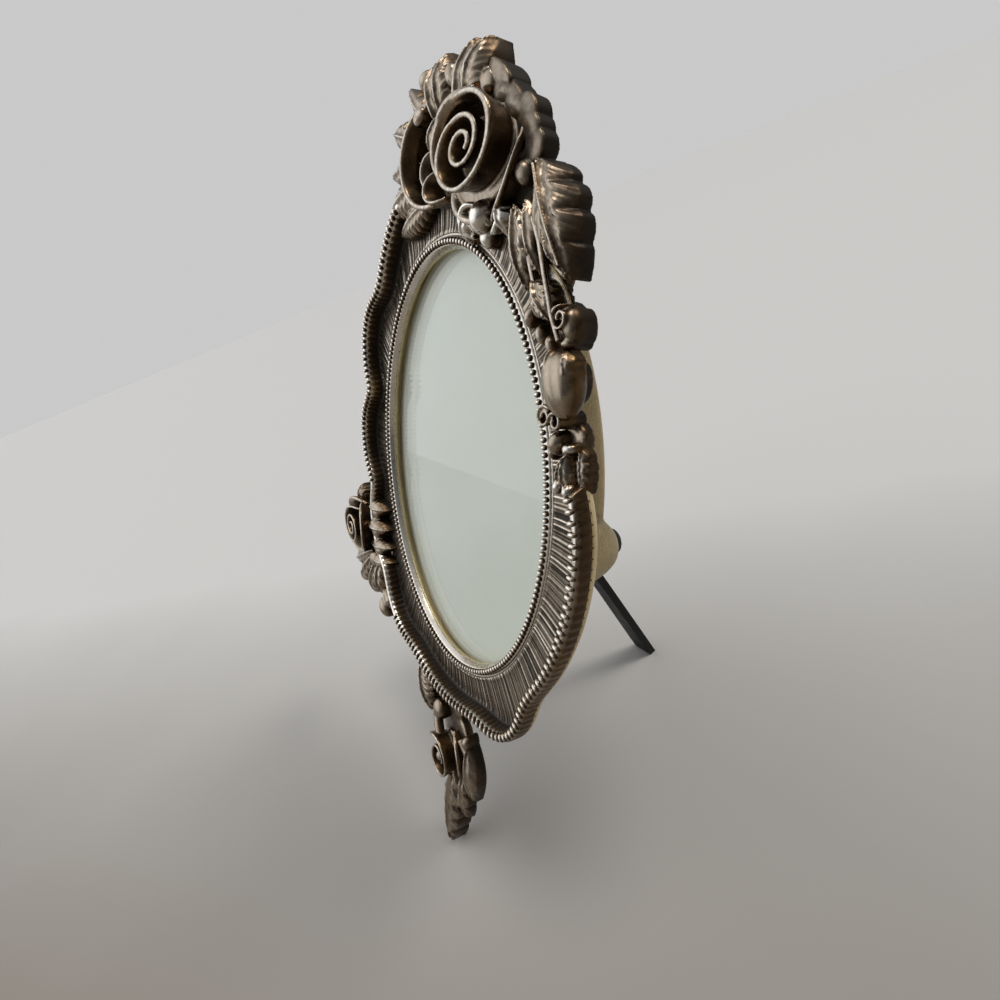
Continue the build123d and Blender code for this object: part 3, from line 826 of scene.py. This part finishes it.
add_casting(
    "crest_shoulder_leaf",
    dome((33.0, 80.4), (4.2, 2.2), -36, base, 2.0, 3.4, 26),
    dome((36.8, 76.4), (4.0, 2.2), -42, base, 1.6, 3.0, 26),
    dome((41.6, 71.6), (3.2, 2.4), -50, base, 1.4, 2.6, 26),
    dome((31.8, 83.4), (5.6, 2.0), -35, base, 2.6, 3.8, 30),
    dome((35.0, 79.4), (5.2, 1.9), -38, base, 1.6, 2.8, 30),
    dome((39.6, 74.2), (4.0, 3.4), -50, base, 1.4, 2.4, 30),
    dome((42.6, 68.6), (3.0, 2.8), -50, base, 1.2, 2.4, 26),
    dome((40.4, 64.6), (2.0, 2.6), 30, base, 1.4, 3.8, 22),
    grain_mm=0.25,
    painted_lightness=-0.1,
)

# Garland
# Leaves, a scroll, a berry and an acanthus tip that hang down the right side of the frame, over its rim,
# cast and plated as the crest is.
add_casting(
    "garland_fern_leaf",
    carved_leaf((46.4, 65.2), 294, 22.4, 9.6, 5.2, teeth=4, droop=(0.2, 0.6), rib=1.1, tip_drop=0.1),
    carved_leaf((47.4, 60.6), 290, 14.0, 3.6, 4.8, teeth=2, droop=(0.3, 0.3), rib=0.7),
    carved_leaf((50.0, 54.6), 296, 11.0, 3.4, 5.8, teeth=3, droop=(0.3, 0.3), rib=0.7),
    stem([(47.0, 64.0, 4.9), (49.6, 58.4, 5.6), (52.4, 52.4, 5.6), (54.8, 46.6, 4.6)], 0.32),
    grain_mm=0.25,
    painted_lightness=-0.05,
)
add_casting(
    "garland_inner_leaves",
    carved_leaf((38.2, 60.0), 282, 17.0, 7.0, 4.2, teeth=4, droop=(0.3, 0.35)),
    carved_leaf((42.6, 60.0), 285, 15.0, 4.6, 4.6, teeth=3, rib=0.7),
    stem([(45.4, 56, 3.4), (48.4, 51.5, 4.0), (50.6, 46, 4.4), (53.0, 39, 4.4), (54.6, 34.6, 3.8)], 0.55),
    stem([(43.6, 50, 3.0), (46.2, 45, 3.4), (49.4, 39, 3.4)], 0.5),
    grain_mm=0.25,
)
add_casting(
    "garland_ribbed_leaf",
    carved_leaf((45.6, 46.0), 303, 9.6, 6.6, 4.6, teeth=4, droop=(0.2, 0.3), tip_drop=0.1),
    dome((43.2, 39.4), (1.4, 2.2), -20, base, 1.0, 3.2, 18),
    dome((47.2, 36.0), (1.3, 2.2), 20, base, 1.0, 3.4, 18),
    dome((50.6, 34.0), (1.3, 2.4), 25, base, 1.0, 3.6, 18),
    grain_mm=0.22,
)
add_casting(
    "garland_scroll",
    dome((56.0, 37.2), (2.0, 3.3), 12, base, 1.4, 4.0, 30),
    petal_coil((55.0, 38.4), 100, 1.3, 2.3, 0.7, 0.5, 4.7, 4.4, lean_in=0.2, wall=0.6),
    dome((55.6, 34.2), (1.5, 1.2), 0, base, 2.0, 3.8, 20),
    grain_mm=0.22,
)


def berry_shell(place, turn, length, width, middle):
    """A plump bud lying along the frame, seamed down its length."""
    rings = []
    for k in range(33):
        share = k / 32
        s = -math.cos(math.pi * share)
        r = width / 2 * max(1 - s * s, 0.0004) ** 0.46 * (1 - 0.12 * s)
        angles = np.linspace(0, 2 * math.pi, 40, endpoint=False)
        seam = 1 - 0.08 * np.exp(-(((angles - math.radians(70)) / 0.2) ** 2))
        x, y = set_down(place, turn, length / 2 * s, r * np.cos(angles) * seam)
        rings.append(np.stack([x, y, middle + r * np.sin(angles) * seam], axis=-1))
    return lofted(rings)


add_casting(
    "garland_berry",
    berry_shell((55.4, 27.0), 282, 12.6, 8.2, 2.8),
    dome((55.0, 27.4), (2.6, 4.0), 0, base, 0.0, 2.0, 24),
    carved_leaf((54.0, 33.4), 268, 6.4, 3.4, 6.4, low=1.0, teeth=2, rib=0.5),
    carved_leaf((57.2, 33.0), 284, 6.0, 3.0, 5.6, low=1.0, teeth=2, rib=0.5),
    grain_mm=0.22,
)
add_casting(
    "garland_curl",
    petal_coil((50.8, 21.0), 20, 1.5, 2.3, 0.7, base, 4.2, 3.9, lean_in=0.2, wall=0.6),
    petal_coil((54.6, 20.4), 200, 1.2, 2.0, 0.7, base, 4.6, 4.3, lean_in=0.2, wall=0.6, hand=-1),
    dome((53.0, 20.8), (3.0, 2.0), 0, base, 1.0, 2.8, 22),
    dome((50.0, 23.6), (1.2, 1.6), 30, base, 1.0, 3.2, 16),
    grain_mm=0.22,
)
add_casting(
    "garland_small_leaf",
    dome((53.4, 16.2), (1.9, 2.5), -12, base, 1.4, 4.3, 22),
    dome((51.0, 14.0), (0.9, 1.6), 10, base, 0.6, 2.4, 16),
    grain_mm=0.22,
)
add_casting(
    "garland_acanthus",
    carved_leaf((56.4, 15.6), 258, 8.6, 2.4, 3.8, teeth=1, rib=0.9, tip_drop=0.0, waist=1.3),
    carved_leaf((56.8, 15.8), 276, 9.0, 2.6, 4.4, teeth=1, rib=0.9, tip_drop=0.0, waist=1.3),
    carved_leaf((58.4, 15.6), 280, 8.6, 2.8, 1.6, teeth=4, rib=0.6, tip_drop=0.0),
    dome((55.2, 8.2), (1.2, 1.5), -10, base, 2.4, 4.4, 16),
    dome((58.2, 7.8), (1.2, 1.5), 10, base, 2.4, 4.6, 16),
    dome((56.8, 15.6), (1.6, 1.2), 0, base, 1.6, 3.6, 20),
    grain_mm=0.2,
    painted_lightness=0.13,
)

# Side spray
# A deep rose with leaves at the lower left, half outside the rim, cast and plated as the crest is. Its
# grain is coarser, as the casting is larger.
add_casting(
    "spray_rose",
    dome((-69.5, -35.6), (9.6, 9.6), 0, base, 1.0, 2.6, 44),
    petal_coil((-72.2, -35.6), 60, 2.2, 8.6, 1.4, 0.0, 8.4, 8.6, lean_in=2.6, oblong=1.1),
    petal_wall((-71.4, -35.6), -75, 155, 8.6, 11.0, base, 8.0, wall=0.9, roll=0.7),
    petal_wall((-72.0, -35.6), 60, 110, 8.6, 11.4, base, 6.8, wall=1.0),
    petal_wall((-72.0, -35.6), 150, 130, 9.0, 12.0, base, 6.4, wall=1.0),
    carved_leaf((-72.0, -26.0), 110, 8.0, 7.0, 4.0, teeth=3),
    grain_mm=0.3,
)
add_casting(
    "spray_inner_leaves",
    carved_leaf((-62.0, -24.6), 2, 14.0, 7.6, 4.4, teeth=2, rib=0.5, waist=0.6),
    carved_leaf((-62.0, -32.0), 2, 15.5, 8.2, 5.4, teeth=2, rib=0.5, waist=0.6),
    carved_leaf((-61.0, -39.6), 4, 15.5, 7.6, 4.8, teeth=2, rib=0.5, waist=0.6),
    carved_leaf((-59.0, -46.2), 8, 14.0, 7.4, 5.0, teeth=2, rib=0.5, waist=0.6),
    dome((-54.6, -25.6), (3.0, 2.8), 0, base, 2.6, 4.4, 22),
    dome((-53.6, -33.0), (3.0, 3.0), 0, base, 3.0, 5.2, 22),
    dome((-52.4, -40.4), (3.0, 2.8), 0, base, 2.8, 4.8, 22),
    grain_mm=0.3,
)
add_casting(
    "spray_lower_leaves",
    carved_leaf((-60.0, -43.0), 208, 27.0, 9.4, 6.0, teeth=6),
    carved_leaf((-60.0, -45.0), 226, 27.0, 9.4, 5.6, teeth=6),
    carved_leaf((-57.0, -46.5), 246, 20.0, 9.0, 5.2, teeth=5),
    carved_leaf((-55.0, -47.5), 272, 14.0, 8.0, 4.8, teeth=3),
    dome((-58.0, -46.0), (4.0, 3.6), 0, base, 2.4, 5.4, 22),
    grain_mm=0.3,
)
add_casting(
    "spray_bud",
    carved_leaf((-50.0, -56.0), 318, 10.6, 6.4, 4.6, teeth=3, rib=0.7),
    dome((-48.8, -63.4), (3.2, 4.4), 32, base, 2.4, 5.8, 22),
    grain_mm=0.3,
)

# Foot
# A small ribbed leaf on the lower rim, and the finial: a rose, a side leaf and the pointed calyx that the
# frame stands on. They are cast and plated as the crest is.
foot_low = -3.0
add_casting(
    "lower_leaf",
    carved_leaf((-15.4, -70.0), 297, 16.6, 9.0, 5.0, teeth=7, rib=1.1, tip_drop=0.1),
    dome((-2.4, -80.4), (3.2, 3.6), 20, base, 2.0, 4.6, 24),
    stem([(-4.0, -82.0, 2.6), (-1.5, -85.5, 3.4), (1.5, -88.5, 4.2)], 1.6),
)
add_casting(
    "foot_rose",
    dome((4.0, -92.6), (6.4, 7.4), 0, base, 1.0, 2.4, 36),
    petal_coil((2.8, -94.2), 160, 1.5, 8.6, 2.4, -1.0, 7.0, 6.2, hand=-1, oblong=0.92, lean_in=2.0),
    petal_wall((4.0, -92.4), -50, 130, 6.6, 8.2, base, 4.2, wall=0.9, roll=0.6),
    dome((2.0, -94.6), (2.0, 2.0), 0, -1, 4.2, 6.2, 20),
)
add_casting(
    "foot_side_leaf",
    carved_leaf((14.2, -84.0), 277, 20.0, 7.0, 3.2, low=foot_low, teeth=1, rib=0.7, droop=(0.4, 0.4)),
    dome((13.9, -82.6), (1.7, 2.6), -10, base, 0.8, 3.0, 18),
    stem([(10.0, -84.0, 1.0), (14.0, -88.0, 0.5), (13.0, -93.0, 0.0)], 1.6),
    grain_mm=0.25,
)
add_casting(
    "foot_calyx",
    carved_leaf(
        (6.2, -97.0), 267.5, 32.5, 10.0, 4.9, low=foot_low, droop=(0.3, 0.3), tip_drop=0.0, waist=0.62
    ),
    carved_leaf((9.6, -98.5), 276, 17.0, 5.0, 2.4, low=foot_low, teeth=3, rib=0.7),
    stem([(6.4, -99.0, 3.4), (6.0, -112.0, 4.3), (5.4, -124.0, 3.4)], 0.8),
    grain_mm=0.25,
)

# Back ring
# A deep oval rim behind the tray, sand cast in the same alloy and left champagne gold, with a standoff boss
# on each side. It holds the glass and the back.
bore_gap, ring_wall, ring_rear = 0.8, 5.0, -12.8
boss_x, boss_y, boss_end = 51.2, -7.8, -14.0
bore_x, bore_y = half_width + bore_gap, half_height + bore_gap
boss_profile = (
    (7.9, tray_back), (7.7, -5.5), (7.3, -8.0), (6.6, -10.5),
    (5.8, -12.4), (5.1, -13.4), (4.2, boss_end),
)


def ring_shell():
    """The ring's section, out from its bore, swept round the oval."""
    rings = [
        ring_at((0, 0), (bore_x + out, bore_y + out), height, 480)
        for out, height in (
            (0, tray_back),
            (ring_wall + 0.1, tray_back),
            (ring_wall + 0.1, tray_back - 1.0),
            (ring_wall, ring_rear + 2.4),
            (ring_wall - 0.25, ring_rear + 0.9),
            (ring_wall - 1.1, ring_rear),
            (0.5, ring_rear),
            (0, ring_rear + 0.4),
        )
    ]
    return lofted(rings, close=True)


def boss_shell(side):
    """A standoff boss, its part inside the bore pushed back to the bore's wall."""
    rings = []
    for radius, height in boss_profile:
        ring = ring_at((side * boss_x, boss_y), (radius, radius), height, 48)
        reach = np.sqrt((ring[:, 0] / (bore_x + 0.05)) ** 2 + (ring[:, 1] / (bore_y + 0.05)) ** 2)
        ring[:, :2] *= np.maximum(1 / reach, 1)[:, None]
        rings.append(ring)
    return lofted(rings)


back_ring = cast_as_one("back_ring", [ring_shell(), boss_shell(-1), boss_shell(1)], 0.45, 4)
gold = Finish("gold_casting")
crease_and_shade = gold.mark("crease_and_shade")
sand = gold.noise(1500, 4, 0.6)
patch = gold.noise(60, 4, 0.55)
tone = gold.blend(patch.held(0.35, 0.7), (0.76, 0.63, 0.36, 1), (0.56, 0.42, 0.23, 1))
# Patina in creases, and painted shade on faces turned away and near the ground, from the crease mark.
tone = gold.blend(crease_and_shade.held(0.55, 0.8) * 0.6, tone, (0.10, 0.06, 0.03, 1))
champagne = gold.principled(
    Base_Color=tone,
    Metallic=0.95,
    Roughness=sand.held(0.3, 0.7, 0.28, 0.5),
    Normal=gold.bump(sand + 0.5 * gold.noise(240, 3, 0.5), 0.8, 0.00035),
)
back_ring.data.materials.append(champagne)
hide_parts("back_ring")
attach(back_ring, "frame")
underside_rings = [
    level(rim + out * rim_side, height)
    for out, height in (
        (-1.5, -1.9),
        (0.4, -0.1),
        (0.95, 0.45),
        (1.22, 0.5),
        (1.2, 0.1),
        (0.95, -0.6),
        (0.2, -1.7),
        (-1.0, -2.6),
        (-2.4, -3.3),
        (-3.4, tray_back),
    )
]
underside_rings += [level(oval(-opening_inset + 0.1), tray_back), level(oval(-opening_inset + 0.1), -2.5)]
underside_faces = ring_faces(len(underside_rings), around, close=True)
underside = mesh_piece("frame_underside", np.concatenate(underside_rings), underside_faces)
mark_creases_and_shade(underside.data, 0.4, 6, side_share=0.0)
underside.data.materials.append(champagne)
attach(underside, "frame")

# Rubber bumpers
# A moulded black pad pressed into the end of each boss, that keeps the metal off a shelf or a wall.
rubber = Finish("black_rubber")
scuff = rubber.noise(300, 3)
black_rubber = rubber.principled(
    Base_Color=rubber.blend(scuff.held(0.4, 0.7), (0.011, 0.011, 0.011, 1), (0.02, 0.019, 0.018, 1)),
    Roughness=scuff.held(0.3, 0.7, 0.42, 0.6),
    Normal=rubber.bump(scuff, 0.2, 0.0001),
)
bumper_profile = (
    (2.8, -13.3), (3.1, -13.6), (3.1, -16.0), (2.95, -16.4),
    (2.4, -16.7), (1.4, -16.85), (0.4, -16.9),
)
for side, node in ((-1, "rubber_bumper_left"), (1, "rubber_bumper_right")):
    middle = (side * boss_x, boss_y)
    rings = [ring_at(middle, (radius, radius), height, 40) for radius, height in bumper_profile]
    bumper = mesh_piece(node, *lofted(rings))
    bumper.data.materials.append(black_rubber)
    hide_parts(node)
    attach(bumper, "frame")

# Glass, paper and card
# Clear sheet glass laid in the ring over a blank sheet of pale paper, with a grey-brown card behind them.
pane = Finish("clear_glass")
clear = pane.add("ShaderNodeBsdfTransparent", Color=(0.985, 0.995, 0.99, 1))
shine = pane.add("ShaderNodeBsdfGlossy", Roughness=0.03, Color=(1, 1, 1, 1))
facing = pane.value(pane.add("ShaderNodeLayerWeight", Blend=0.5), "Facing")
smear = pane.noise(40, 3)
share = (0.035 + 0.9 * facing**5.0) * smear.held(0.3, 0.7, 0.9, 1.0)
mixed = pane.add("ShaderNodeMixShader", i0=share, i1=clear.outputs[0], i2=shine.outputs[0])
glass_material = pane.surface(mixed.outputs[0])
rings = [
    ring_at((0, 0), (a, b), height, 240)
    for a, b, height in (
        (47.3, 60.3, -4.0),
        (47.5, 60.5, -4.2),
        (47.5, 60.5, -5.5),
        (47.3, 60.3, -5.7),
    )
]
glass = mesh_piece("glass_pane", *lofted(rings))
glass.data.shade_flat()
glass.data.materials.append(glass_material)
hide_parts("glass_pane")
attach(glass, "frame")


def dress(name, material):
    """Gives a solid of the frame its finish."""
    solid = frame["nodes"][name].data
    solid.materials.clear()
    solid.materials.append(material)


paper = Finish("plain_paper")
fibre = paper.noise(900, 4, 0.6)
age = paper.noise(28, 3, 0.5)
pale_paper = paper.principled(
    Base_Color=paper.blend(age.held(0.35, 0.7), (0.77, 0.79, 0.71, 1), (0.73, 0.75, 0.67, 1)),
    Roughness=0.75,
    Normal=paper.bump(fibre, 0.15, 0.00005),
)
dress("photo_insert", pale_paper)
card = Finish("backing_card")
pulp = card.noise(500, 4)
grey_card = card.principled(
    Base_Color=card.blend(pulp, (0.42, 0.34, 0.25, 1), (0.34, 0.27, 0.19, 1)),
    Roughness=0.85,
    Normal=card.bump(pulp, 0.2, 0.0001),
)
dress("backing_card", grey_card)

# Easel back and strut
# The panel that closes the ring is fibreboard wrapped in black velvet. The strut that swings out behind it
# is moulded in black plastic.
velvet = Finish("black_velvet")
pile = velvet.noise(1400, 3, 0.7)
brushed = velvet.noise(25, 3, 0.5)
black_velvet = velvet.principled(
    Base_Color=velvet.blend(brushed.held(0.35, 0.7), (0.010, 0.010, 0.012, 1), (0.022, 0.021, 0.024, 1)),
    Roughness=0.95,
    Sheen_Weight=0.35,
    Sheen_Roughness=0.4,
    Sheen_Tint=(0.45, 0.47, 0.55, 1),
    Normal=velvet.bump(pile, 0.5, 0.0002),
)
dress("easel_panel", black_velvet)
moulding = Finish("black_plastic")
dust = moulding.noise(350, 4, 0.6)
black_plastic = moulding.principled(
    Base_Color=moulding.blend(dust.held(0.5, 0.75), (0.006, 0.007, 0.007, 1), (0.014, 0.014, 0.014, 1)),
    Roughness=dust.held(0.3, 0.7, 0.4, 0.6),
    Specular_IOR_Level=0.2,
    Normal=moulding.bump(dust, 0.25, 0.0001),
)
dress("easel_strut", black_plastic)

# Hinge, rivets, clips and screws
# Plated steel hinge leaves riveted to the boards, and brass-plated turn clips screwed to the ring.


def plated_metal(name, wear_scale, bright, dull, smooth, rough):
    """Plated metal, rubbed dull in small patches."""
    metal = Finish(name)
    wear = metal.noise(wear_scale, 4)
    return metal.principled(
        Base_Color=metal.blend(wear.held(0.4, 0.7), bright, dull),
        Metallic=1.0,
        Roughness=wear.held(0.3, 0.7, smooth, rough),
        Normal=metal.bump(wear, 0.15, 0.00005),
    )


steel = plated_metal("hinge_steel", 500, (0.55, 0.54, 0.52, 1), (0.42, 0.40, 0.37, 1), 0.28, 0.42)
brass = plated_metal("clip_brass", 400, (0.68, 0.52, 0.26, 1), (0.50, 0.36, 0.17, 1), 0.25, 0.4)
for name in frame["nodes"]:
    if name.startswith("hinge_") or name.endswith("_rivets"):
        dress(name, steel)
    if name.startswith("turn_clip") or name == "clip_screws":
        dress(name, brass)

# Table and light
# A pale cloth on a table, its colour painted warmer and darker in front of the frame and to its right as
# shade. One lamp stands high behind the frame and one overhead, and the room is light above and ahead of
# the frame to its left, and dim elsewhere.
cloth = bpy.data.meshes.new("table")
shape = bmesh.new()
bmesh.ops.create_circle(shape, cap_ends=True, segments=96, radius=12)
shape.to_mesh(cloth)
shape.free()
table = in_scene("table", cloth)
linen = Finish("table")
weave = linen.noise(300, 3)
spot = linen.add("ShaderNodeSeparateXYZ", Vector=linen.add("ShaderNodeTexCoord").outputs["Object"])
far_side = linen.value(spot, 1) - 0.9 * linen.value(spot, 0) + 0.05 * linen.noise(9, 2)
# Painted shade: the cloth is darker towards the front of the frame and to its right, and pale further off.
painted_floor_shade = far_side.held(-0.15, 0.2)
cloth.materials.append(
    linen.principled(
        Base_Color=linen.blend(painted_floor_shade, (0.245, 0.22, 0.19, 1), (0.60, 0.595, 0.585, 1)),
        Roughness=0.9,
        Normal=linen.bump(weave, 0.1, 0.0002),
    )
)
table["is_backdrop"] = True

world = bpy.data.worlds.new("room")
bpy.context.scene.world = world
room = Finish("room", world)
toward = room.add("ShaderNodeSeparateXYZ", Vector=room.add("ShaderNodeTexCoord").outputs["Generated"])
east, north, high = (room.value(toward, i) for i in range(3))
overhead = high.held(0.1, 0.9)
ahead = (-0.65 * north - 0.58 * east + 0.48 * high).held(0.35, 1.0)
glow = 0.06 + 0.24 * overhead + 1.3 * ahead
lit = room.add("ShaderNodeBackground", Color=(0.95, 0.97, 1.0, 1), Strength=glow)
seen = room.add("ShaderNodeBackground", Color=(0.585, 0.585, 0.585, 1), Strength=1.0)
by_camera = room.add("ShaderNodeLightPath").outputs["Is Camera Ray"]
view = room.add("ShaderNodeMixShader", i0=by_camera, i1=lit.outputs[0], i2=seen.outputs[0])
room.add("ShaderNodeOutputWorld", i0=view.outputs[0])


def far_lamp(name, toward, power, colour, spread):
    """A lamp far off in that direction, its shadows softened by that spread in degrees."""
    lamp = bpy.data.lights.new(name, "SUN")
    lamp.energy, lamp.color, lamp.angle = power, colour, math.radians(spread)
    in_scene(name, lamp).rotation_euler = Vector(toward).to_track_quat("Z", "Y").to_euler()


far_lamp("lamp_behind", (0.34, 0.60, 0.72), 0.8, (1.0, 0.97, 0.92), 16)
far_lamp("lamp_overhead", (0.14, 0.22, 0.97), 0.85, (1.0, 0.96, 0.90), 20)

# Camera
# A close phone camera to the right of the frame, looking down and across it.
eye = on_frame((126.993, 31.474, 61.997))
sideways = (0.5361161, 0.0071537, -0.8441139)
upward = (-0.2324032, 0.9625712, -0.1394470)
backward = (0.8115222, 0.2709345, 0.5177125)
axes = [(on_frame(direction) - on_frame((0, 0, 0))) * 1000 for direction in (sideways, upward, backward)]
picture_width, focal_length = 1000, 499.856  # both in the picture's own points
lens = bpy.data.cameras.new("camera")
lens.sensor_width, lens.clip_start = 36.0, 0.005
lens.lens = lens.sensor_width * focal_length / picture_width
camera = in_scene("camera", lens)
matrix = Matrix.Identity(4)
for column, numbers in enumerate((*axes, eye)):
    for row in range(3):
        matrix[row][column] = numbers[row]
camera.matrix_world = matrix
bpy.context.scene.camera = camera
bpy.context.scene.view_settings.view_transform = "Standard"

low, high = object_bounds()
